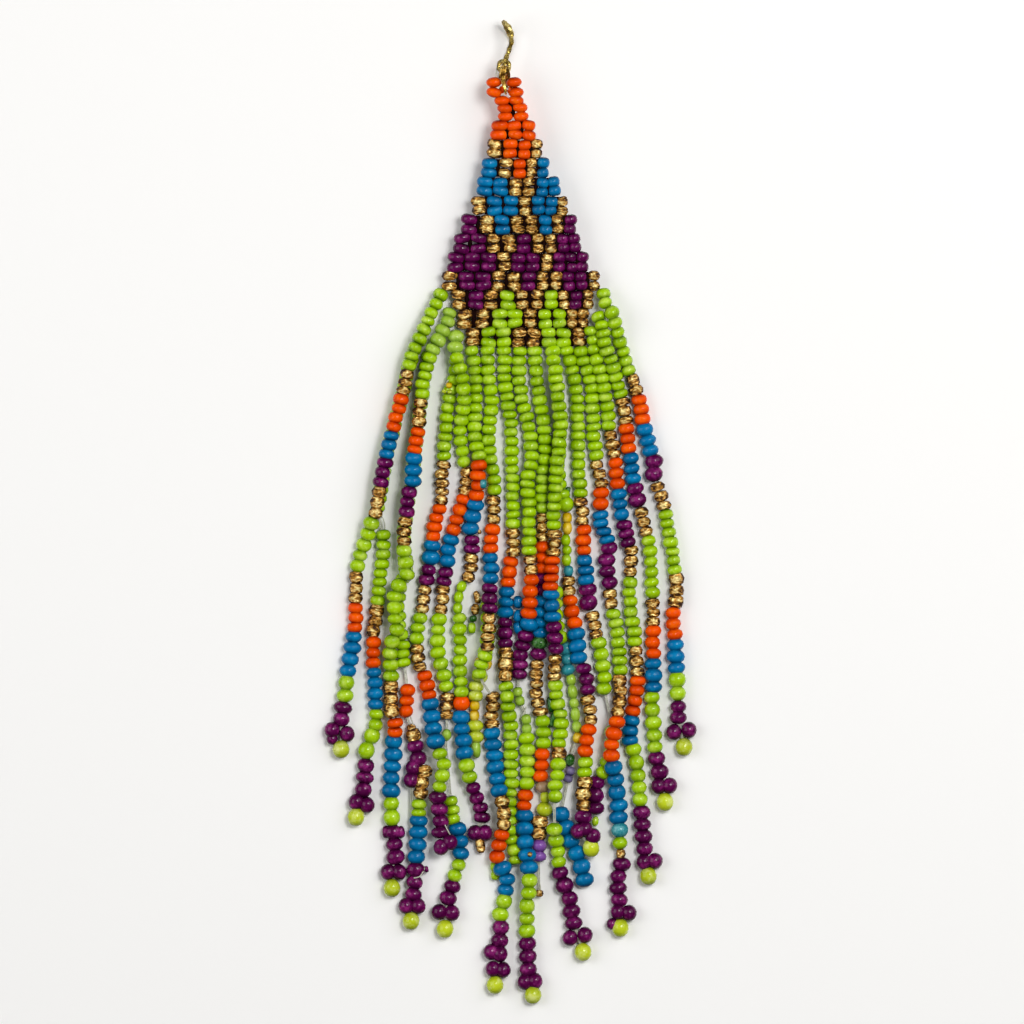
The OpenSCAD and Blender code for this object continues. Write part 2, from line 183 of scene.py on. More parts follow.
def noise(place, scale, detail=2.0):
    return place.node("ShaderNodeTexNoise", {}, {"Vector": place, "Scale": scale, "Detail": detail})


def connect(signal, shader, name):
    signal.tree.links.new(signal.socket, shader.inputs[name])


def roughen(shader, height, strength, depth):
    """Gives the surface a relief that follows height, its depth in metres."""
    bump = height.node("ShaderNodeBump", {}, {"Strength": strength, "Distance": depth, "Height": height})
    connect(bump, shader, "Normal")


def glass_finish(name, painted_shade, body, light, roughness, gloss=1.0):
    """Glazed or clear glass, no two beads the same: painted shade towards the hole's ends, where neighbours
    meet, brighter on the crown, with painted highlights in pale streaks there.
    """
    material, shader, place = new_finish(name)
    crown = bead_value(place, "crown")
    cloud = noise(place, 750.0)
    speckle = noise(place, 3200.0)
    # The dark colour towards the hole's ends, where beads meet, is painted shade.
    body_share = crown * 0.95 + bead_value(place, "tone") * 0.3 + cloud * 0.3 - 0.25
    colour = blend_colours(painted_shade, body, body_share)
    # Pale streaks on the crown are painted highlights.
    limits = {"From Min": 0.7, "From Max": 0.95, "To Min": 0.0, "To Max": 0.45}
    painted_highlight = cloud.node("ShaderNodeMapRange", {}, {"Value": cloud + speckle * 0.4, **limits})
    connect(blend_colours(colour, light, painted_highlight * crown), shader, "Base Color")
    connect(speckle * 0.25 + (roughness - 0.1), shader, "Roughness")
    roughen(shader, cloud + speckle * 0.2, 0.3, 0.0001)
    shader.inputs["Specular IOR Level"].default_value = 0.15 * gloss
    shader.inputs["Coat Weight"].default_value = 0.8 * gloss
    shader.inputs["Coat IOR"].default_value = 1.35
    shader.inputs["Coat Roughness"].default_value = 0.08
    shader.inputs["IOR"].default_value = 1.33
    return material


def gilt_finish(name, dark, middle, bright):
    """Gilt metal in wavy ridges round each bead with dark brown patina in the grooves, painted highlights
    on its upper side and in pale patches, and painted shade at its sides.
    """
    material, shader, place = new_finish(name)
    top = bead_value(place, "top")
    patch = noise(place, 1300.0)
    flat = place.node("ShaderNodeMapping", {}, {"Vector": place, "Scale": (0.8, 1.4, 1.0)})
    wave = noise(flat, 1200.0, 1.0)
    across = wave * 2.2 + bead_value(place, "crown") * 0.5 + bead_value(place, "tone") * 0.3
    ridge = across.math("PINGPONG", across, 0.5) * 2.0
    # Brighter on the bead's upper side and darker at its sides: painted highlight and painted shade.
    patina_and_painted_light = ridge * 0.65 + patch * 0.5 + top * top * 0.75 - 0.59
    stops = [(0.08, dark), (0.42, middle), (0.82, bright)]
    connect(patina_and_painted_light.node("ShaderNodeValToRGB", {"stops": stops}, {0: patina_and_painted_light}), shader, "Base Color")
    connect(0.6 - ridge * 0.25, shader, "Roughness")
    roughen(shader, ridge + patch, 0.9, 0.00015)
    shader.inputs["Metallic"].default_value = 0.5
    return material


# Each glass glaze: its painted shade colour, its body colour, its painted highlight colour, roughness and
# gloss. The gilt's bright colour is partly painted highlight.
GLAZES = {
    "O": glass_finish("orange_glass", paint(120, 8, 0), paint(240, 80, 0), paint(252, 124, 14), 0.3, 0.4),
    "B": glass_finish("blue_glass", paint(0, 32, 58), paint(0, 110, 164), paint(10, 150, 200), 0.28, 0.6),
    "P": glass_finish("plum_glass", paint(18, 0, 14), paint(88, 0, 70), paint(190, 60, 150), 0.22, 0.8),
    "L": glass_finish("lime_glass", paint(62, 98, 0), paint(160, 202, 8), paint(220, 238, 110), 0.22),
    "A": gilt_finish("gilt_metal", paint(58, 30, 0), paint(188, 130, 44), paint(255, 230, 150)),
}
PANEL_GLAZES = ["O", "B", "P", "L", "A"]


def bead_shape(name, outline, sides, smooth, uneven):
    """A bead of radius 1 that reaches from -1 to 1 along Z, spun from half its outline.

    Its mesh carries three numbers for the finishes: crown is 1 round its middle and 0 at its ends, where
    the glass finish paints shade, tone is the bead's own shade, and top is 1 where it faces up, where the
    gilt finish paints a highlight.
    """
    bm = bmesh.new()
    corners = [bm.verts.new((radius, 0, height)) for radius, height in outline]
    for first, second in zip(corners, corners[1:]):
        bm.edges.new((first, second))
    bmesh.ops.spin(bm, geom=bm.verts[:] + bm.edges[:], cent=(0, 0, 0), axis=(0, 0, 1),
                   angle=math.tau, steps=sides, use_merge=True)
    bmesh.ops.holes_fill(bm, edges=[edge for edge in bm.edges if edge.is_boundary], sides=0)
    bmesh.ops.recalc_face_normals(bm, faces=bm.faces)
    crown = bm.verts.layers.float.new("crown")
    bm.verts.layers.float.new("tone")
    bm.verts.layers.float.new("top")
    for vert in bm.verts:
        vert[crown] = 1 - vert.co.z ** 2
        vert.co *= 1 + uneven * (dice.random() - 1)
    for face in bm.faces:
        face.smooth = smooth
    mesh = bpy.data.meshes.new(name)
    bm.to_mesh(mesh)
    bm.free()
    return mesh


BARREL_OUTLINE = [(0.44, -1), (0.76, -0.84), (0.95, -0.46), (1, 0), (0.95, 0.46), (0.76, 0.84), (0.44, 1)]
BALL_OUTLINE = [(0.26, -0.97), (0.6, -0.82), (0.9, -0.45), (1, 0), (0.9, 0.45), (0.6, 0.82), (0.26, 0.97)]
CUT_OUTLINE = [(0.45, -0.96), (0.82, -0.72), (1.0, 0.0), (0.82, 0.72), (0.45, 0.96)]
barrel_bead = bead_shape("barrel_bead", BARREL_OUTLINE, 12, True, 0.02)
ball_bead = bead_shape("ball_bead", BALL_OUTLINE, 12, True, 0.03)
cut_beads = [bead_shape(f"cut_bead_{i}", CUT_OUTLINE, 9, False, 0.12) for i in range(3)]


def add_bead(bm, glaze, slots, middle, along, size, shape=barrel_bead):
    """Puts one bead on its thread, turned by chance round it. Gilt beads keep their own shape.

    size is its half width, half height and half length.
    """
    verts_before = len(bm.verts)
    faces_before = len(bm.faces)
    if glaze == "A":
        bm.from_mesh(dice.choice(cut_beads))
    else:
        bm.from_mesh(shape)
    bm.verts.ensure_lookup_table()
    bm.faces.ensure_lookup_table()
    place = (
        Matrix.Translation(middle)
        @ along.to_track_quat("Z", "Y").to_matrix().to_4x4()
        @ Matrix.Diagonal((*size, 1))
        @ Matrix.Rotation(dice.uniform(0, math.tau), 4, "Z")
    )
    bmesh.ops.transform(bm, matrix=place, verts=bm.verts[verts_before:])
    tone = bm.verts.layers.float["tone"]
    top = bm.verts.layers.float["top"]
    shade = dice.random()
    for vert in bm.verts[verts_before:]:
        vert[tone] = shade
        # top gives gilt beads a painted highlight on their upper side.
        vert[top] = max((vert.co.z - middle.z) / size[1], 0)
    for face in bm.faces[faces_before:]:
        face.material_index = slots.index(glaze)


def add_wire(bm, points, radius, slot, sides=6, twist=0.0, hollow=1.0, closed=False):
    """Draws the wire's section along the points. twist is its turn for each millimetre of length."""
    points = [Vector(point) for point in points]
    count = len(points)
    ahead = [points[(i + 1) % count] if closed or i + 1 < count else points[i] for i in range(count)]
    behind = [points[i - 1] if closed or i else points[i] for i in range(count)]
    headings = [(there - here).normalized() for there, here in zip(ahead, behind)]
    faces_before = len(bm.faces)
    place = Matrix.Translation(points[0]) @ headings[0].to_track_quat("Z", "Y").to_matrix().to_4x4()
    ring = bmesh.ops.create_circle(bm, segments=sides, radius=radius, matrix=place)["verts"]
    for vert in ring[::2]:
        vert.co = points[0].lerp(vert.co, hollow)
    first_loop = list(dict.fromkeys(edge for vert in ring for edge in vert.link_edges))
    loop = first_loop
    for i in range(1, count):
        made = bmesh.ops.extrude_edge_only(bm, edges=loop)["geom"]
        fresh = [part for part in made if isinstance(part, bmesh.types.BMVert)]
        among = set(fresh)
        edges = [part for part in made if isinstance(part, bmesh.types.BMEdge)]
        loop = [edge for edge in edges if among.issuperset(edge.verts)]
        step = (points[i] - points[i - 1]).length
        turn = (
            Matrix.Rotation(twist * step, 4, headings[i])
            @ headings[i - 1].rotation_difference(headings[i]).to_matrix().to_4x4()
        )
        move = Matrix.Translation(points[i]) @ turn @ Matrix.Translation(-points[i - 1])
        bmesh.ops.transform(bm, matrix=move, verts=fresh)
    if closed:
        bmesh.ops.bridge_loops(bm, edges=first_loop + loop)
    else:
        bmesh.ops.holes_fill(bm, edges=first_loop + loop, sides=0)
    bm.faces.ensure_lookup_table()
    for face in bm.faces[faces_before:]:
        face.material_index = slot
        face.smooth = hollow == 1.0


def thread_finish(name, dark, light, roughness, gloss):
    """Nylon thread, darker where it is twisted."""
    material, shader, place = new_finish(name)
    twist = noise(place, 2500.0)
    connect(blend_colours(dark, light, twist), shader, "Base Color")
    connect(twist * 0.2 + roughness, shader, "Roughness")
    shader.inputs["Specular IOR Level"].default_value = gloss
    return material


THREAD = thread_finish("nylon_thread", paint(120, 122, 100), paint(222, 222, 205), 0.2, 0.5)
# The weave thread is near black, as painted shade in the gaps between the panel's beads.
WEAVE_SHADE_THREAD = thread_finish("weave_shade_thread", paint(8, 2, 3), paint(34, 10, 7), 0.75, 0.08)


def finished_piece(bm, name, materials):
    """Brings the mesh into the frame's place and metres, as one object."""
    bmesh.ops.recalc_face_normals(bm, faces=bm.faces)
    bmesh.ops.translate(bm, vec=TO_MIDDLE, verts=bm.verts)
    bmesh.ops.scale(bm, vec=(MM, MM, MM), verts=bm.verts)
    mesh = bpy.data.meshes.new(name)
    bm.to_mesh(mesh)
    bm.free()
    for material in materials:
        mesh.materials.append(material)
    piece = bpy.data.objects.new(name, mesh)
    bpy.context.scene.collection.objects.link(piece)
    return piece


PANEL_THREAD_SLOT = len(PANEL_GLAZES)
WEAVE_SHADE_THREAD_SLOT = PANEL_THREAD_SLOT + 1

panel_bm = bmesh.new()
rows_h = len(PANEL_ROWS) * ROW_PITCH
for row, (first, last, glazes) in enumerate(PANEL_ROWS):
    row_top = rows_h - row * ROW_PITCH
    row_foot = row_top - ROW_PITCH
    skew = 0.0 if row == len(PANEL_ROWS) - 1 else LEFT_SPREAD
    shares = [i / (len(glazes) - 1) for i in range(len(glazes))]
    columns = [first + (last - first) * (t + skew * t * (1 - t)) for t in shares]
    steps = [there - here for here, there in zip(columns, columns[1:])]
    for i, (x, glaze) in enumerate(zip(columns, glazes)):
        share = (steps[max(i - 1, 0)] + steps[min(i, len(steps) - 1)]) / 2
        half_width = min(share / 2 * PANEL_BEAD_PRESS, PANEL_BEAD_WIDEST)
        for layer in ROW_LAYERS:
            shift = Vector((either_way(PANEL_OFF_X), either_way(PANEL_OFF_Y), dice.uniform(*PANEL_OFF_Z)))
            middle = Vector((x, row_top - layer * ROW_PITCH, 0)) + shift
            lean = Vector((either_way(PANEL_LEAN_X), 1, either_way(PANEL_LEAN_Z)))
            size = (half_width * dice.uniform(*PANEL_WIDTHS), PANEL_BEAD_R, PANEL_BEAD_HALF_L)
            add_bead(panel_bm, glaze, PANEL_GLAZES, middle, lean, size)
        ends = [(x, row_top, THREAD_Z), (x, row_foot, THREAD_Z)]
        add_wire(panel_bm, ends, THREAD_R, PANEL_THREAD_SLOT)
        # A thick, near black thread between neighbouring beads: painted shade in the gaps.
        if i:
            between = x - steps[i - 1] / 2
            ends = [(between, row_top - WEAVE_SHADE_THREAD_GAP, 0), (between, row_foot + WEAVE_SHADE_THREAD_GAP, 0)]
            add_wire(panel_bm, ends, WEAVE_SHADE_THREAD_R, WEAVE_SHADE_THREAD_SLOT)
    for layer in ROW_LAYERS:
        line = [(x, row_top - layer * ROW_PITCH, THREAD_Z) for x in columns]
        add_wire(panel_bm, line, THREAD_R, PANEL_THREAD_SLOT)
neck = [Vector((x, (y - PANEL_FOOT.y) / math.cos(PANEL_SLOPE), 0)) for x, y in NECK_BEADS]
for middle in neck:
    lean = Vector((either_way(NECK_LEAN), 1, 0))
    size = (NECK_BEAD_R, PANEL_BEAD_R, PANEL_BEAD_HALF_L)
    add_bead(panel_bm, "O", PANEL_GLAZES, middle, lean, size, ball_bead)
for side in (neck[:5], neck[5:]):
    sunk_end = Vector((side[-1].x, rows_h - NECK_THREAD_SUNK, 0))
    add_wire(panel_bm, side + [sunk_end], THREAD_R, PANEL_THREAD_SLOT)
# A thick, near black thread between the prongs: painted shade.
neck_seam = [(left + right) / 2 for left, right in zip(neck[2:5], neck[7:])]
add_wire(panel_bm, neck_seam, WEAVE_SHADE_THREAD_R, WEAVE_SHADE_THREAD_SLOT)
bridge = [neck[1], *(Vector(point) for point in BRIDGE), neck[6]]
add_wire(panel_bm, bridge, BRIDGE_THREAD_R, PANEL_THREAD_SLOT)
for middle in (bridge[1], bridge[3]):
    add_bead(panel_bm, "O", PANEL_GLAZES, middle, Vector((1, 0, 0)), BRIDGE_BEAD, ball_bead)
add_wire(panel_bm, [neck[0]] + PRONG_LOOP, THREAD_R, PANEL_THREAD_SLOT)
slope = Matrix.Rotation(PANEL_SLOPE, 3, "X")
bmesh.ops.rotate(panel_bm, cent=(0, 0, 0), matrix=slope, verts=panel_bm.verts)
bmesh.ops.translate(panel_bm, vec=PANEL_FOOT, verts=panel_bm.verts)
panel_materials = [GLAZES[code] for code in PANEL_GLAZES] + [THREAD, WEAVE_SHADE_THREAD]
panel = finished_piece(panel_bm, "bead_weave", panel_materials)
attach(panel, "root")
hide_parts("woven_panel")

# Fringe
# Twenty strings of seed beads on nylon thread, which hang from the panel's lower rows and lie beside and
# over each other. Each has bands of glazes, and most end in a pair of beads side by side and a round tip.

# Glass glazes as above: painted shade, body colour, painted highlight, roughness.
GLAZES.update({
    "Y": glass_finish("yellow_glass", paint(140, 96, 0), paint(216, 178, 6), paint(250, 236, 124), 0.25),
    "G": glass_finish("dark_green_glass", paint(6, 30, 10), paint(34, 84, 26), paint(150, 210, 130), 0.15),
    "T": glass_finish("teal_glass", paint(10, 84, 96), paint(52, 142, 152), paint(150, 215, 215), 0.25),
    "V": glass_finish("violet_glass", paint(60, 50, 90), paint(124, 112, 154), paint(190, 180, 212), 0.2),
    "W": glass_finish("lilac_glass", paint(70, 30, 100), paint(136, 86, 168), paint(205, 170, 225), 0.2),
    "K": glass_finish("smoke_glass", paint(90, 68, 48), paint(152, 124, 96), paint(228, 206, 180), 0.25),
    "I": glass_finish("leaf_glass", paint(84, 118, 26), paint(156, 192, 60), paint(216, 234, 136), 0.25),
    "Z": glass_finish("citron_glass", paint(104, 116, 4), paint(192, 208, 40), paint(248, 250, 180), 0.2),
})
STRING_GLAZES = ["L", "A", "O", "B", "P", "Y", "G", "T", "V", "W", "K", "I", "Z"]
STRING_THREAD_SLOT = len(STRING_GLAZES)
# A bead's half width is this share of its length, within limits, times a number by chance.
BEAD_SHAPE = 0.76
BEAD_R_LEAST = 1.2
BEAD_R_MOST = 1.34
BEAD_WIDTHS = (0.94, 1.06)
# No bead reaches higher over its thread than this.
BEAD_HALF_H_MOST = 1.06
# A bead longer than this is as round as a ball.
ROUND_FROM = 1.55
# Half length of a bead as a share of its room on the thread, over a half so that neighbours touch.
BARREL_REACH = 0.55
BALL_REACH = 0.61
# Half width of the narrow beads, which have lower-case letters in a chart.
NARROW_R = 0.78
# Blue and plum beads of the strings are a little wider than the others, lime ones narrower.
GLAZE_SPREAD = {"B": 1.06, "P": 1.05, "L": 0.96}
# How far by chance a bead is off its thread, how much it leans, and how far the line between two beads
# is off, as a share of a bead.
STRING_OFF_X = 0.1
STRING_LEAN_X = 0.12
STRING_LEAN_Z = 0.06
CUT_OFF = 0.09
# Half width, half height and half length of a foot bead: one of the pair, the tip, small ones.
FOOT_SIZES = {
    "P": (1.2, 1.1, 1.26), "Z": (1.32, 1.14, 1.42),
    "p": (0.88, 0.85, 0.92), "l": (0.55, 0.5, 0.8), "a": (0.8, 0.6, 1.25),
}
FOOT_LEAN = 0.2
# Height of a foot bead's middle where its entry gives none.
FOOT_Z = 1.0
SIDE_LEAN = 0.3

# Each string from left to right: the places it runs through, its chart and its foot beads. In a chart
# a letter is a glaze and a dash bare thread, then come the count and the y where the run starts. A foot
# bead is its size's letter, x and y, and some have the height of their middle.
STRINGS = [
    ([(-10.4, 32.8, 1.9), (-11.7, 30.3, 2.5), (-13.5, 26.6, 3.05), (-15.2, 22.4, 3.05),
      (-16.1, 18.2, 3.05), (-16.8, 15.8, 3.05), (-17.6, 12.8, 3.05), (-18.6, 8.6, 3.05),
      (-19.5, 4.4, 3.05), (-20.3, 0.2, 3.05), (-20.9, -1.7, 2.6), (-21.6, -3.6, 1.8),
      (-22.4, -5.8, 1), (-23, -8.1, 1), (-23.4, -12.6, 1), (-23.4, -17.4, 1),
      (-24.5, -23.6, 1), (-24.9, -27.3, 1), (-25.5, -31.4, 1)],
     "L9 32.6, A3 20.7, O4 16.95, B3 11.4, P3 7.35, A3 3, L5 -1.65, A3 -9.75, O3 -14.4, B4 -18.75,"
     " L2 -25.5, P2 -29.4, end -32.9",
     "P -26.85 -32.7, P -24.6 -33.3, p -26.85 -34.05, Z -25.5 -35.6"),
    ([(-13.5, 26.4, 1), (-15.2, 22.4, 1), (-16.1, 18.2, 1), (-16.8, 15.8, 1),
      (-17.6, 12.8, 1), (-18.6, 8.6, 1), (-19.4, 4.4, 1), (-19.9, 0.2, 1),
      (-19.2, -3.5, 1), (-19.1, -5, 1), (-19.4, -8.2, 1), (-20, -13.2, 1),
      (-20.6, -18, 1), (-20.6, -22.5, 1), (-20.3, -29, 1), (-20.4, -31.8, 1),
      (-20.9, -33.8, 1), (-21.8, -36, 1), (-21.8, -38.2, 1), (-22.2, -42.2, 1)],
     "L19 25.8, -1 -0.75, L1 -3.45, L7 -4.95, A3 -14.7, O3 -19.5, B4 -24.15, L2 -30.4, L2 -33.6,"
     " P3 -38, end -43.6",
     "P -23.25 -43.5, P -21.6 -43.95, Z -23.25 -45.75"),
    ([(-9.1, 30.1, 1.6), (-9.6, 28.5, 1.9), (-10.8, 26.1, 2.5), (-11.8, 24.2, 3.05),
      (-12.8, 21.3, 3.05), (-13.5, 16.4, 3.05), (-14, 12, 3.05), (-14.6, 8.1, 3.05),
      (-14.8, 4.7, 3.05), (-15.5, 1.8, 3.05), (-15.8, -1.2, 3.05), (-16.1, -4.4, 3.05),
      (-15.7, -7.7, 3.05), (-15.6, -9.6, 3.05), (-17.3, -11.7, 3.05), (-17.4, -15.5, 3.05),
      (-17.1, -18, 2.8), (-18, -19.8, 2.5), (-18, -24.6, 1), (-18, -28, 1.3),
      (-17.9, -30, 2), (-17.4, -31.7, 2.3), (-17.4, -33.2, 1.6), (-17.7, -36, 1),
      (-18, -42, 1), (-17.9, -45.9, 1), (-17.3, -52.3, 1)],
     "I5 29.8, L5 23.1, A3 16.35, O3 12, B3 8.1, P3 3, A3 -1.5, L12 -5.85, A3 -26.25, O2 -31.65,"
     " B5 -34.35, L2 -43.8, P3 -48, end -53.7",
     "P -18.45 -54, P -16.8 -54, Z -17.85 -56.4"),
    ([(-12.2, 24, 1), (-12.8, 21.3, 1), (-13.5, 16.4, 1), (-14, 12, 1),
      (-14.6, 8.1, 1), (-14.8, 4.7, 1), (-15.5, 1.8, 1), (-15.8, -1.2, 1),
      (-16.1, -4.4, 1), (-15.9, -8.5, 1), (-16.8, -12, 1), (-16.8, -16, 1),
      (-16.3, -20, 1), (-16, -23, 1), (-15.5, -26, 1), (-15.7, -29, 1),
      (-15.8, -30.6, 1), (-14.9, -32.4, 1), (-14.4, -34.2, 1), (-14, -36.6, 1),
      (-13.1, -38.9, 1), (-13.6, -42, 1), (-13.8, -45, 1), (-14, -49.2, 1),
      (-14.7, -57.5, 1)],
     "L30 23.3, L3 -19.95, -1 -23.9, O3 -26.7, -1 -31.5, a1 -32.4, A1 -33.5, P2 -35.2, A3 -38.85, L2 -43.8,"
     " B4 -46.35, P3 -53.6, end -59.2",
     "P -14.7 -38.4, P -15 -40.2, P -15.75 -59.1, P -13.95 -59.1, Z -15 -61.35"),
    ([(-8.2, 23.4, 1), (-8.4, 20.6, 1), (-9, 18.3, 1), (-9.3, 16.8, 1),
      (-9.8, 12.6, 1), (-10.1, 8.4, 1), (-10.4, 4.5, 1), (-10.4, 2, 1),
      (-11.2, -0.9, 1), (-11.7, -3.8, 1), (-12, -6.9, 1), (-12.7, -10.2, 1),
      (-13.3, -14.6, 1), (-14.2, -18.6, 1), (-13.7, -23.4, 1), (-12.9, -24.8, 1),
      (-12.3, -27.5, 1), (-11.9, -31, 1.2), (-11.4, -34.4, 2.6), (-10.1, -38, 3.05),
      (-10.6, -41.1, 3.05), (-10.9, -42.8, 2.8), (-10.7, -45.5, 2.1), (-10.5, -48.3, 2.2)],
     "L11 22.6, A5 7.05, O4 0.45, B2 -5.1, P2 -8.7, A3 -11.7, L3 -15.9, A3 -20.55, O3 -24.6, B4 -28.8,"
     " L4 -36.3, P4 -42.75, end -49.7",
     "P -10.5 -50.25 2.6, P -9.15 -49.5 2.6"),
    ([(-8.4, 26.9, 1.4), (-8.3, 25.2, 2.3), (-8.2, 23.7, 3.05), (-7.4, 20.4, 3.05),
      (-7.1, 18.4, 2.9), (-7, 16.8, 2.3), (-7.5, 13.8, 1.1), (-7.6, 10.5, 1),
      (-7, 7.5, 1), (-6.7, 6, 1), (-6.8, 3.3, 1), (-7.7, 0.5, 1),
      (-8.7, -2.6, 1), (-9.6, -7.4, 1), (-10, -10.4, 1), (-10.5, -14.6, 1),
      (-11.1, -19.4, 1), (-10.5, -23.1, 1), (-9.8, -25.8, 1), (-9.6, -30.8, 1),
      (-9.8, -35.7, 1), (-9.8, -41, 1), (-9, -43.4, 1), (-8.7, -46, 1),
      (-8, -47.8, 1), (-7.5, -51, 1), (-8.4, -54.5, 1), (-9.5, -58.4, 1)],
     "I2 26.3, L11 23.1, A3 6, O4 1.8, B3 -4.2, P2 -9, A3 -11.7, L7 -16.05, A3 -27.75, -1 -31.8, i1 -33.45,"
     " -1 -35, L3 -43.35, B3 -47.55, L2 -52.95, P2 -56.2, end -59.7",
     "P -10.8 -60, P -8.85 -60.15, Z -9.9 -62.55"),
    ([(-5.9, 24.5, 1.05), (-5.4, 21, 1), (-5.3, 17, 1), (-5.5, 11, 1.3),
      (-4.8, 8.3, 2.3), (-4.9, 6, 2.4), (-5, 3.8, 2.4), (-5.4, 1, 1.3),
      (-6.1, -2.7, 1), (-5.9, -4.2, 1), (-6.2, -9.5, 1), (-7.5, -11.4, 1),
      (-8, -13.8, 1), (-7.7, -16.2, 1), (-7.7, -21.5, 1), (-7.5, -26.7, 1),
      (-7.5, -30.8, 1), (-7.3, -33, 1.6), (-7, -35.7, 2), (-6.6, -38, 2.4),
      (-5.7, -41.4, 1.4), (-5.1, -43.2, 1), (-4.4, -45, 1), (-4.6, -46.7, 1)],
     "L12 24.2, O4 7, B3 1.05, P2 -4.2, A3 -6.9, l3 -11.25, L8 -16, O1 -28.65, B4 -30.75, L2 -37.95,"
     " P4 -41.4, end -47.3",
     "P -5.4 -48.15, P -3.9 -48.15, a -4.6 -50"),
    ([(-3.4, -13.4, 1), (-3.5, -18, 1), (-4.2, -22.5, 1), (-5, -25.5, 1),
      (-5.4, -28, 1), (-5.4, -30.6, 1), (-5.3, -33.5, 1), (-5.2, -37.5, 1)],
     "L5 -14.1, Y1 -22.7, Z3 -24.6, y2 -29.1, Z2 -32.1, i1 -35.4, end -38",
     ""),
    ([(-3.5, 24.5, 1.05), (-3.3, 20, 1), (-2.9, 17, 1), (-3.3, 12.3, 1),
      (-3.3, 9.3, 1), (-2.8, 6, 1), (-2.5, 3.3, 1), (-2.7, -1.2, 1),
      (-3.1, -5.6, 1), (-3, -8.4, 1.2), (-3.2, -12.4, 3.05), (-3.5, -20.2, 3.05),
      (-4, -21.8, 3.05), (-4.7, -23.7, 3.05), (-4.7, -25, 3.1), (-2.9, -27.3, 2.2),
      (-2.9, -31.5, 1), (-2.5, -36.9, 1), (-2, -40.7, 1.4), (-1.4, -43.5, 2.9),
      (-1.1, -47, 3), (-2.1, -51.5, 2), (-1.1, -53.6, 1.8), (-0.6, -55, 1.3),
      (-0.8, -56.8, 1), (-1.5, -60.2, 1), (-1.6, -64.2, 1), (-1.8, -65, 1)],
     "L15 24.25, A3 1.8, O3 -2.55, B3 -6.9, P3 -11.55, A4 -15.9, L3 -21.6, -1 -25.65, A4 -27.75,"
     " B6 -33.15, A3 -43.5, O3 -48.45, B3 -53.4, L2 -58.35, P2 -62.3, end -66.2",
     "P -3 -66, P -1.65 -66.3, P -2.7 -68.55, P -1.2 -68.7, Z -2.4 -70.95"),
    ([(-1, 24.5, 1.05), (-0.9, 19.6, 1), (-0.6, 17.1, 1), (0, 12.8, 1),
      (0.2, 6.9, 1), (0.3, -1.8, 1), (0.3, -6, 1), (-0.1, -7.7, 1),
      (-0.5, -10.7, 1), (-0.8, -14.9, 1), (-0.9, -22, 1.3), (-0.9, -24.8, 2),
      (-0.6, -27.5, 2.4), (-0.4, -29.6, 2), (-0.1, -32.4, 1), (0, -40.7, 1),
      (-0.2, -43.5, 1), (-0.2, -47, 1), (0, -49.5, 1), (0.6, -51.3, 1),
      (0.8, -53.6, 1)],
     "L20 24.2, A3 -3.15, O3 -7.5, B3 -12, P3 -16.65, A3 -21.15, L19 -26.25, end -53.6",
     ""),
    ([(1.4, 24.5, 1.05), (1.2, 20.3, 1), (1.6, 17.3, 1), (2.2, 14.6, 1),
      (2.8, 11.6, 1.1), (3, 7.7, 1.9), (2.4, 3.8, 1.9), (2.7, 1.4, 2),
      (2.7, -3.9, 2), (2.8, -5.7, 2.1), (3.1, -8.9, 2.2), (3, -10.2, 2.2),
      (2.7, -14.9, 2.1), (2.7, -16.8, 1.8), (2.1, -18.6, 1.3), (1.4, -21.6, 1),
      (1.2, -24.9, 1), (1, -27.5, 1), (2, -29.9, 1), (2.4, -34, 1),
      (2.3, -40.8, 1), (2, -44.1, 1), (1.9, -47.3, 1.3), (2.1, -49.4, 1.8),
      (2.7, -53.3, 2.6), (2.7, -57, 2.6), (2.3, -59, 1.9), (2.4, -62.9, 1),
      (2.6, -68.9, 1)],
     "L22 24.1, A2 -7.2, O4 -10.2, B1 -16.8, P5 -18.6, -1 -25.8, i2 -27, -1 -29.7, i2 -31.1, L5 -33.95,"
     " O2 -42.45, B5 -45.6, L5 -55.2, P3 -64.8, end -70.6",
     "P 2.1 -70.5, P 3.6 -70.35, Z 3.3 -72.45"),
    ([(3.6, 24.5, 1.05), (3.8, 20.6, 1), (4.4, 16, 1), (5, 13.2, 1),
      (5.1, 10.2, 1), (4.6, 4.8, 1), (4.6, 0.9, 1), (4.7, -5.7, 1),
      (4.8, -9, 1), (4.5, -13.4, 1), (4.4, -18, 1), (4.2, -21.3, 1),
      (3.9, -23, 1), (3.8, -26.3, 1), (3.9, -28.4, 1), (4.7, -31.4, 1),
      (4.8, -34.5, 1), (4.5, -39.6, 1), (5.1, -42.6, 1), (5, -44.7, 1),
      (4.4, -46.5, 1), (4.2, -50.1, 1), (4.1, -58.3, 1)],
     "L17 24.1, A3 -0.9, O3 -5.2, P2 -10, B4 -13.35, G1 -19.65, P1 -21.3, A6 -22.95, L3 -31.35,"
     " O3 -36.3, K1 -41.25, z1 -42.8, Z1 -44.6, A2 -46.5, W2 -50, -1 -53.2, a1 -57.2, end -58.2",
     ""),
    ([(6.2, 24.1, 1.3), (6.4, 22.8, 2.2), (6.6, 21.3, 3.05), (7.2, 16, 3.05),
      (7.5, 12.9, 3.05), (7.2, 9.9, 3.05), (6.9, 6.9, 3.05), (6.6, 2.5, 3.05),
      (6.4, -0.6, 2.5), (6.6, -3.3, 2.4), (6.4, -6, 2.6), (6.2, -8, 2.9),
      (6, -11, 3.05), (6.3, -15.8, 3.05), (6.6, -19.2, 3.05), (6.6, -22, 2.5),
      (6.5, -24.6, 1.8), (6.9, -28, 1.2), (7.5, -31.2, 1), (7.3, -34.5, 1.2),
      (7, -37.8, 2.1), (6.7, -41.4, 3), (6.5, -44.5, 3.1), (6.5, -46.2, 3),
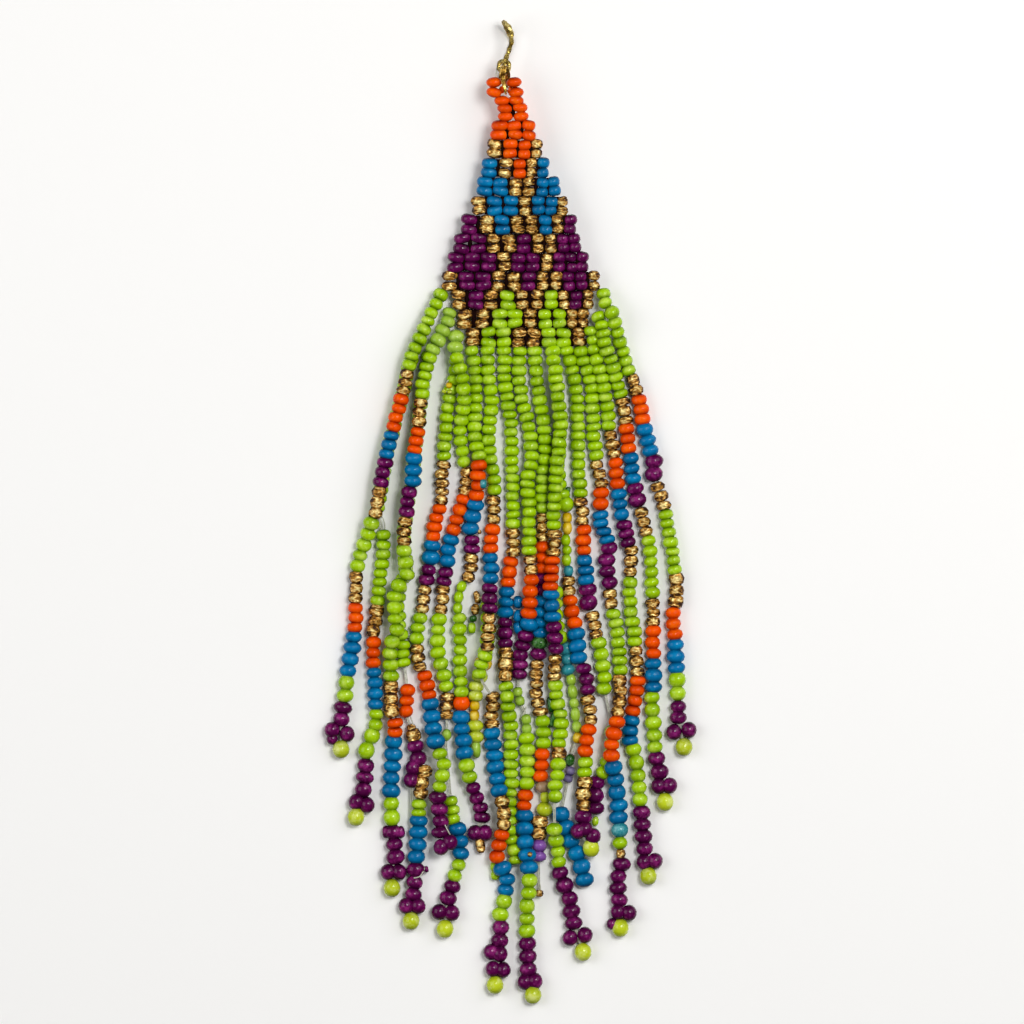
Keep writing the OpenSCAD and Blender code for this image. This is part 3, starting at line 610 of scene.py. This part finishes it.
      (6.6, -47.7, 2.5), (6.8, -50, 1.3), (7.2, -52.5, 1), (7.3, -54.2, 1), (8.1, -56.1, 1),
      (8.7, -57.9, 1), (9.5, -61.9, 1)],
     "L20 24.1, A3 -3.3, O4 -7.35, B3 -12.45, P3 -17.25, A3 -22.05, L7 -25.95, A1 -36.15, L4 -37.8,"
     " -1 -44.3, L4 -47.6, P5 -54.15, end -63.45",
     "P 8.85 -63.9, P 11.1 -63.45, Z 10.8 -66"),
    ([(6.7, -11.2, 1), (6.7, -15.8, 1), (7.3, -18.8, 1), (8.2, -20.5, 1),
      (8.5, -21.9, 1), (8.6, -23.7, 1), (9.1, -25.4, 1), (9.9, -32, 1),
      (10, -33.9, 1), (9.1, -36, 1), (8.7, -39.5, 1), (7.8, -43.2, 1),
      (7.4, -45.3, 1), (8.1, -47.3, 1), (9.5, -50.4, 1), (10.1, -51.8, 1),
      (11.2, -55.6, 1)],
     "L5 -12, T3 -20.55, i5 -25.2, y1 -33.9, -1 -35.4, g1 -37.2, v2 -38.8, -1 -41.1, B6 -45.3, end -57.05",
     ""),
    ([(6.6, 21, 1), (7.2, 16, 1), (7.5, 12.9, 1), (7.2, 9.9, 1),
      (7, 6.9, 1), (7.3, 4, 1), (8.2, 1.4, 1), (8.4, -0.9, 1),
      (8.3, -4.2, 1), (8.4, -7.2, 1), (8.9, -13.4, 1), (9.5, -16.7, 1.4),
      (10.2, -21.9, 2), (11, -23.6, 1.8), (11.4, -26.7, 1.8), (11.9, -31.4, 1.9),
      (11.7, -32.9, 2.1), (11.1, -35.7, 2.2), (11.2, -37.5, 2.2), (11, -40.5, 2.2),
      (10.8, -46, 2.3)],
     "L13 20.3, L1 1.2, y1 -0.9, y1 -2.4, l3 -4.2, t1 -8.85, A2 -10.35, O3 -13.35, B3 -18.3, P3 -23.55,"
     " A3 -28.2, O3 -32.7, L2 -37.5, A3 -40.5, P1 -45.7, end -47.6",
     "P 10.05 -47.85 2.4, P 11.1 -47.55 2.4, P 12.3 -48.6 2.2, Z 12 -50.4 2"),
    ([(8.3, 24.5, 1.05), (9, 21.5, 1), (9.4, 20.3, 1), (9.8, 17.7, 1),
      (10, 15.5, 1), (10, 10.2, 1), (10.4, 2.7, 1), (10.8, -1.4, 1),
      (10.9, -5.4, 1), (11.3, -10.2, 1), (11.7, -14.1, 1), (12.3, -15.6, 1),
      (12.8, -18.3, 1), (13.2, -19.7, 1), (13.7, -23.1, 1), (14.1, -24.8, 1),
      (14, -26.7, 1), (14.6, -29.2, 1), (15.1, -33, 1), (14.8, -36.5, 1),
      (13.6, -39.4, 1), (12.8, -40.9, 1), (12.7, -44.6, 1)],
     "L16 24.15, A3 1.5, O3 -2.7, B3 -7.2, P2 -11.7, A3 -15.6, L5 -19.65, -3 -28.2, L5 -32.9,"
     " P3 -40.65, end -46.2",
     "l 12.65 -46.4"),
    ([(10.4, 24.5, 1.05), (10.9, 22.8, 1), (11.7, 20.1, 1), (12.2, 18.2, 1),
      (12.3, 12.6, 1), (12.8, 8.6, 1), (12.9, 7, 1), (13.5, 4.4, 1),
      (13.4, 1.4, 1), (13.5, -1.8, 1), (14.7, -5.4, 1), (14.4, -6.9, 1),
      (14.7, -10.5, 1), (15, -13.8, 1), (15.9, -18, 1), (16.4, -23.7, 1),
      (16.3, -27, 1.7), (16.1, -30, 2.9), (15.5, -32.9, 3.05), (14.9, -35.9, 3.05),
      (15.4, -38.2, 2.8), (15.8, -41, 1.4), (16.1, -44.4, 1), (16.5, -52.8, 1),
      (16.1, -54.6, 1), (16.2, -58.6, 1)],
     "L12 24.15, A3 7.05, O2 2.85, B4 -0.45, P4 -5.4, A2 -12.3, L7 -15.3, A4 -25.2, O4 -31.5, B5 -38.25,"
     " T1 -47.7, L1 -49.65, a1 -51.3, P4 -52.8, end -60",
     "P 16.05 -60, P 17.7 -60.15, p 15.15 -61.8, Z 16.4 -62.4"),
    ([(12.1, 27.3, 1.3), (12.5, 24.5, 1.2), (13, 22.1, 1.7), (13.5, 20.7, 1.55),
      (14.1, 17.9, 1.6), (14.6, 15.5, 1), (14.6, 13, 1), (15.4, 8.9, 1),
      (15.9, 4.4, 1), (16.6, -0.5, 1), (17.6, -4.7, 1), (18, -5.9, 1),
      (18, -9, 1), (17.8, -10.5, 1), (17.9, -13.7, 1), (18.6, -19.2, 1),
      (19, -25.4, 1), (18.5, -28.2, 1), (18, -31.3, 1), (17.8, -34.4, 1),
      (18.5, -35.9, 1), (19, -38.9, 1), (19.3, -43.1, 1), (20.1, -50.9, 1)],
     "L11 27.15, A3 11.55, O3 7.35, B3 2.7, P3 -1.95, A3 -5.9, L7 -10.5, A3 -20.85, O4 -25.4, B3 -31.3,"
     " L5 -35.7, P4 -45, end -52.3",
     "P 19.95 -52.5, P 21.6 -52.35, Z 20.6 -54.6"),
    ([(13.1, 29.6, 1.7), (13.7, 27.5, 2.5), (14.1, 24.9, 2.5), (14.9, 23.1, 2.2),
      (15.6, 20.4, 1.7), (16.4, 17.8, 1), (17.2, 13.8, 1), (17.7, 9.8, 1),
      (18.4, 4.8, 1), (19, 1.7, 1), (20.3, -2.9, 1), (21, -7.5, 1),
      (21.2, -12.2, 1), (21.3, -21, 1), (21.4, -25.7, 1), (21.2, -27.9, 1),
      (21.6, -35, 1), (22.3, -39.5, 1)],
     "L10 29.3, A3 16.5, O3 12.5, B3 8.1, P2 3.45, A3 0, L6 -4.35, A3 -13.65, O3 -17.85, B3 -22.8,"
     " L5 -27.9, P2 -37, end -41",
     "P 22.15 -41.1, P 23.8 -41.05, Z 23.1 -43.5"),
    ([(13.8, 33, 1.85), (14, 31.5, 2.2), (15, 30, 2.9), (15.6, 28.4, 2.7),
      (16.1, 26.7, 1.8), (16.7, 24.2, 1), (17.6, 21.3, 1), (18.8, 18.3, 1),
      (19.8, 13.8, 1), (20.9, 9.2, 1), (21.4, 7.6, 1), (21.4, 5.9, 1),
      (22.9, 0.9, 1), (23.6, -3, 1), (24.6, -8.6, 1), (24.8, -13.3, 1),
      (24.2, -15.8, 1), (24.5, -18.6, 1), (24.8, -23.3, 1), (24.9, -27, 1),
      (25.2, -31.3, 1)],
     "L9 32.7, A2 19.8, O3 16.8, B3 12.45, P2 7.6, A3 3.75, L7 -0.4, A3 -10.05, O3 -15.15, B3 -19.95,"
     " L2 -25.05, P2 -29.2, end -32.5",
     "P 24.45 -33, P 26.7 -32.7, Z 25.95 -35.25"),
]

# Small beads that sit beside a string: glaze, x, y, height, half width and half length.
SIDE_BEADS = {
    3: ["P -18.7 -48 1 0.65 0.95", "P -16.6 -48 1 0.7 0.9"],
    4: ["P -12.7 -53.6 1 0.35 0.5"],
    5: ["Y -9.3 19 2.1 0.5 0.45", "Z -10 18.1 1.6 0.42 0.35", "Z -9.2 18 2.1 0.4 0.3"],
    6: ["A -4.75 -3 1.2 0.35 0.35"],
    7: ["T -4.15 4.2 3.4 0.5 0.7"],
    9: ["A -5.1 -12.8 1 0.6 1.05", "A -5.4 -14.6 1 0.7 0.9", "G -5.7 -16 1 0.6 0.5",
        "L -5.85 -17.4 1 0.6 0.85"],
    10: ["L -2.5 -53.2 0.65 0.65 0.75", "L -2.4 -54.5 0.65 0.65 0.75"],
    11: ["B 1.05 -13.5 1 0.7 0.95", "B 1.05 -15.6 1 0.7 0.95", "B 1.05 -17.4 1 0.7 0.95",
         "A 2.85 -51.3 3.3 0.4 0.4"],
    13: ["G 5.9 -28.9 1 0.45 1.2", "G 6.3 -31 1 0.45 1.3"],
    14: ["G 8.5 3.2 1 0.4 0.6"],
}
# Loose ends and loops of thread beside a string, as places they run through.
LOOSE_THREADS = {
    2: [[(-19.3, -3.2, 1), (-19.7, -1.8, 1), (-19.4, -0.7, 1), (-19, -1.6, 1), (-18.9, -3, 1)]],
    4: [[(-15.2, -30.4, 1.2), (-14.6, -32.2, 1.4), (-14.4, -33.4, 1.5)],
        [(-12.9, -53.3, 1.1), (-13.6, -54.6, 1.9), (-14.6, -54.9, 1.9)]],
    5: [[(-9.9, -46.9, 2.9), (-9.4, -47.9, 2.9), (-9, -48.6, 2.8)],
        [(-9.2, 19.9, 1.6), (-9.8, 19.3, 1.9), (-9.3, 18.9, 2.1)]],
    12: [[(3.9, -54.6, 1), (4.4, -56.2, 1), (4.2, -57.6, 1)], [(2.3, -29.2, 1.3), (1.7, -30.6, 1.3)]],
}


def smooth_line(points, steps, closed=False):
    """More points on a smooth line through the points given."""
    points = [Vector(point) for point in points]
    count = len(points)
    made = []
    for i in range(count if closed else count - 1):
        a = points[i - 1] if closed or i else points[i]
        b, c = points[i], points[(i + 1) % count]
        d = points[(i + 2) % count] if closed or i + 2 < count else c
        for k in range(steps):
            t = k / steps
            made.append(0.5 * (2 * b + (c - a) * t + (2 * a - 5 * b + 4 * c - d) * t**2
                               + (3 * b - a - 3 * c + d) * t**3))
    return made if closed else made + [points[-1]]


def on_route(route, y):
    """Place and direction of a string at height y in the picture, on a smooth line through its route."""
    last = len(route) - 2
    i = next((k for k in range(last) if y > route[k + 1][1]), last)
    here, there = Vector(route[i]), Vector(route[i + 1])
    before, after = Vector(route[max(i - 1, 0)]), Vector(route[min(i + 2, last + 1)])
    span = there.y - here.y
    slope_here = (there - before) / (there.y - before.y)
    slope_there = (after - here) / (after.y - here.y)
    t = (y - here.y) / span
    place = (
        here * (2 * t**3 - 3 * t**2 + 1)
        + slope_here * span * (t**3 - 2 * t**2 + t)
        + there * (3 * t**2 - 2 * t**3)
        + slope_there * span * (t**3 - t**2)
    )
    heading = slope_here * (1 - t) + slope_there * t
    return place, heading.normalized()


def read_chart(chart):
    """The chart as runs of glaze, count, start and pitch along the picture's height."""
    words = [entry.split() for entry in chart.split(",")]
    runs = []
    for (what, start), (_, following) in zip(words, words[1:]):
        count = int(what[1:])
        runs.append((what[0], count, float(start), (float(start) - float(following)) / count))
    return runs


for number, (route, chart, foot) in enumerate(STRINGS, 1):
    string_bm = bmesh.new()
    line = []
    for glaze, count, start, pitch in read_chart(chart):
        cuts = [either_way(CUT_OFF) if 0 < k < count else 0 for k in range(count + 1)]
        for k in range(count):
            top = start + pitch / 2 - (k + cuts[k]) * pitch
            bottom = start + pitch / 2 - (k + 1 + cuts[k + 1]) * pitch
            place, heading = on_route(route, (top + bottom) / 2)
            length = pitch / abs(heading.y)
            line.append(place)
            if glaze == "-":
                continue
            shape, reach = (ball_bead, BALL_REACH) if length > ROUND_FROM else (barrel_bead, BARREL_REACH)
            half_width = min(max(length * BEAD_SHAPE, BEAD_R_LEAST), BEAD_R_MOST)
            half_width *= dice.uniform(*BEAD_WIDTHS) * GLAZE_SPREAD.get(glaze, 1.0)
            half_height = min(half_width, BEAD_HALF_H_MOST)
            half_length = (top - bottom) / abs(heading.y) * reach
            if glaze.islower():
                half_width = half_height = NARROW_R
            place.x += either_way(STRING_OFF_X)
            place.z = max(place.z, half_height)
            lean = heading + Vector((either_way(STRING_LEAN_X), 0, either_way(STRING_LEAN_Z)))
            size = (half_width, half_height, half_length)
            add_bead(string_bm, glaze.upper(), STRING_GLAZES, place, lean, size, shape)
    foot_ends = []
    for entry in foot.split(","):
        if not entry:
            continue
        glaze, x, y, *height = entry.split()
        size = FOOT_SIZES[glaze]
        middle = Vector((float(x), float(y), max(float(height[0]) if height else FOOT_Z, size[1])))
        foot_ends.append(middle)
        lean = Vector((either_way(FOOT_LEAN), 1, 0))
        add_bead(string_bm, glaze.upper(), STRING_GLAZES, middle, lean, size, ball_bead)
    if foot_ends:
        line.append(foot_ends[-1])
    for side in (-THREAD_R, THREAD_R):
        beside = [place + Vector((side, 0, 0)) for place in line]
        add_wire(string_bm, beside, THREAD_R, STRING_THREAD_SLOT)
    for middle in foot_ends[:-1]:
        add_wire(string_bm, [line[-2], middle, foot_ends[-1]], THREAD_R, STRING_THREAD_SLOT)
    for entry in SIDE_BEADS.get(number, ()):
        glaze, *values = entry.split()
        x, y, z, half_width, half_length = (float(value) for value in values)
        lean = Vector((either_way(SIDE_LEAN), 1, 0))
        middle = Vector((x, y, z))
        add_bead(string_bm, glaze, STRING_GLAZES, middle, lean, (half_width, half_width, half_length))
        nearest = min(line, key=lambda place: (place - middle).length)
        add_wire(string_bm, [nearest, middle], THREAD_R, STRING_THREAD_SLOT)
        line.append(middle)
    for points in LOOSE_THREADS.get(number, ()):
        add_wire(string_bm, smooth_line(points, 4), THREAD_R, STRING_THREAD_SLOT)
    string_materials = [GLAZES[code] for code in STRING_GLAZES] + [THREAD]
    string = finished_piece(string_bm, f"bead_string_{number:02d}", string_materials)
    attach(string, "root")
    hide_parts(f"strand_{number:02d}")

# Ear hook
# One piece of gilt brass wire, twisted as it was drawn: a closed eye, an arch turned down under the
# panel's top, and a straight tail that goes through the ear. The eye is bent and soldered.

EYE = Vector((-1.05, 66.75, 5))
EYE_R = 0.8
EYE_STEPS = 32
HOOK_ROUTE = [
    (-1, 67.5, 5), (-0.75, 68, 5), (-0.4, 68.8, 5), (-0.05, 69.9, 5),
    (0.1, 70.9, 5), (0.05, 71.9, 5), (-0.3, 72.7, 4.8), (-0.8, 73.2, 4.2),
    (-1.1, 73.45, 3.2), (-1, 73.1, 2.1), (-0.6, 72.3, 1.1), (-0.1, 71.3, 0.55),
    (0.1, 70.5, 0.4), (-0.5, 68.7, 0.4), (-1.55, 65.4, 0.4), (-1.64, 65.1, 0.4),
]
HOOK_WIRE_R = 0.35
# The wire's section is a square with its corners rounded off, which turns along it.
TWISTED = {"sides": 8, "twist": math.tau / 5, "hollow": 0.8}


def wire_finish(name, dark, middle, bright):
    """Gilt wire: olive gold in random patches of brown and pale gold, painted dark and bright reflections.
    """
    material, shader, place = new_finish(name)
    painted_reflections = noise(place, 900.0)
    fine = noise(place, 5000.0)
    stops = [(0.3, dark), (0.5, middle), (0.72, bright)]
    connect(painted_reflections.node("ShaderNodeValToRGB", {"stops": stops}, {0: painted_reflections}), shader, "Base Color")
    connect(fine * 0.3 + 0.15, shader, "Roughness")
    roughen(shader, fine, 0.3, 0.00004)
    shader.inputs["Metallic"].default_value = 1.0
    return material


hook_bm = bmesh.new()
add_wire(hook_bm, smooth_line(HOOK_ROUTE, 5), HOOK_WIRE_R, 0, **TWISTED)
eye_turns = [math.tau * k / EYE_STEPS for k in range(EYE_STEPS)]
eye_points = [EYE + EYE_R * Vector((math.sin(turn), math.cos(turn), 0)) for turn in eye_turns]
add_wire(hook_bm, eye_points, HOOK_WIRE_R, 0, closed=True, **TWISTED)
hook_brass = wire_finish("hook_brass", paint(70, 52, 14), paint(160, 138, 70), paint(240, 222, 150))
hook = finished_piece(hook_bm, "twisted_ear_wire", [hook_brass])
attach(hook, "root")
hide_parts("ear_hook")

# Hook link
# A loop of fine gilt wire that goes through the hook's eye and round the thread that bridges the
# panel's two prongs. It is wound three times at the eye, and its turns come together below.

LINK_ROUTE = [
    (-0.8, 62.65, 5.7), (-0.85, 62.9, 6.15), (-0.95, 63.5, 6.22), (-1.15, 64.4, 6.05),
    (-1.25, 65.4, 5.75), (-1.15, 66.2, 5.7), (-1.05, 66.65, 5.4), (-1, 66.75, 4.9),
    (-0.95, 66.65, 4.45), (-0.7, 66.1, 4.1), (-0.5, 65.3, 3.75), (-0.5, 64.6, 3.6),
    (-0.65, 63.8, 3.45), (-0.75, 63.05, 3.4), (-0.8, 62.75, 3.95),
]
LINK_WIRE_R = 0.17
# Its outer turns lie this far to each side of the middle one from LINK_TOP_Y up, and on it at LINK_FOOT_Y.
LINK_SPREAD = 0.3
LINK_FOOT_Y = 62.6
LINK_TOP_Y = 65.6

link_bm = bmesh.new()
link_line = smooth_line(LINK_ROUTE, 4, closed=True)
shifts = [min(max((p.y - LINK_FOOT_Y) / (LINK_TOP_Y - LINK_FOOT_Y), 0), 1) for p in link_line]
for turn in (-1, 0, 1):
    turn_line = [p + Vector((turn * LINK_SPREAD * s, 0, 0)) for p, s in zip(link_line, shifts)]
    add_wire(link_bm, turn_line, LINK_WIRE_R, 0, closed=True, **TWISTED)
link_gilt = wire_finish("link_gilt", paint(80, 50, 12), paint(190, 150, 70), paint(250, 226, 150))
link = finished_piece(link_bm, "wound_link", [link_gilt])
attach(link, "root")
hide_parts("hook_link")

# Surface, light and camera
# A plain pale table under the earring, a small soft light high above it and two larger, weaker ones at
# its sides. The camera looks straight down through a long lens. Places and sizes are metres again.

PICTURE_MM = 153.6
CAMERA_LENS = 500
SENSOR = 36
VIEW_MIDDLE = Vector((0.00021, -0.000355, 0.0015))
TABLE_HALF = 1.5

table_bm = bmesh.new()
bmesh.ops.create_grid(table_bm, x_segments=1, y_segments=1, size=TABLE_HALF)
table_mesh = bpy.data.meshes.new("table_top")
table_bm.to_mesh(table_mesh)
table_bm.free()
table = bpy.data.objects.new("table_top", table_mesh)
bpy.context.scene.collection.objects.link(table)
table_paint = bpy.data.materials.new("table_paint")
table_paint.use_nodes = True
table_paint.node_tree.nodes["Principled BSDF"].inputs["Base Color"].default_value = paint(246, 245, 243)
table_paint.node_tree.nodes["Principled BSDF"].inputs["Roughness"].default_value = 0.9
table_mesh.materials.append(table_paint)


def add_softbox(name, place, size, watts):
    """A square soft light that looks at the earring's middle and isn't seen itself."""
    lamp = bpy.data.lights.new(name, "AREA")
    lamp.size = size
    lamp.energy = watts
    holder = bpy.data.objects.new(name, lamp)
    holder.location = place
    holder.rotation_euler = (-Vector(place)).to_track_quat("-Z", "Y").to_euler()
    holder.visible_camera = False
    bpy.context.scene.collection.objects.link(holder)


add_softbox("top_light", (0.21, 0.15, 0.665), 0.22, 2.75)
add_softbox("right_light", (0.46, 0.28, 0.45), 0.5, 1.6)
add_softbox("left_light", (-0.5, 0.08, 0.45), 0.5, 1.85)

world = bpy.data.worlds.new("studio")
world.use_nodes = True
sky = Signal(world.node_tree)
direction = sky.node("ShaderNodeTexCoord", {}, {}, "Generated")
height = sky.node("ShaderNodeSeparateXYZ", {}, {0: direction}, 2)
fade = {"interpolation_type": "SMOOTHSTEP"}
limits = {"From Min": 0.35, "From Max": 0.95, "To Min": 0.05, "To Max": 0.22}
glow = sky.node("ShaderNodeMapRange", fade, {"Value": height, **limits})
sky_light = world.node_tree.nodes["Background"]
world.node_tree.links.new(glow.socket, sky_light.inputs["Strength"])
sky_light.inputs["Color"].default_value = (1, 0.995, 0.985, 1)
bpy.context.scene.world = world
bpy.context.scene.view_settings.view_transform = "Standard"

lens = bpy.data.cameras.new("camera")
lens.lens = CAMERA_LENS
lens.sensor_width = SENSOR
lens.clip_end = 10
camera = bpy.data.objects.new("camera", lens)
camera.location = VIEW_MIDDLE + Vector((0, 0, PICTURE_MM / 1000 * CAMERA_LENS / SENSOR))
bpy.context.scene.collection.objects.link(camera)
bpy.context.scene.camera = camera
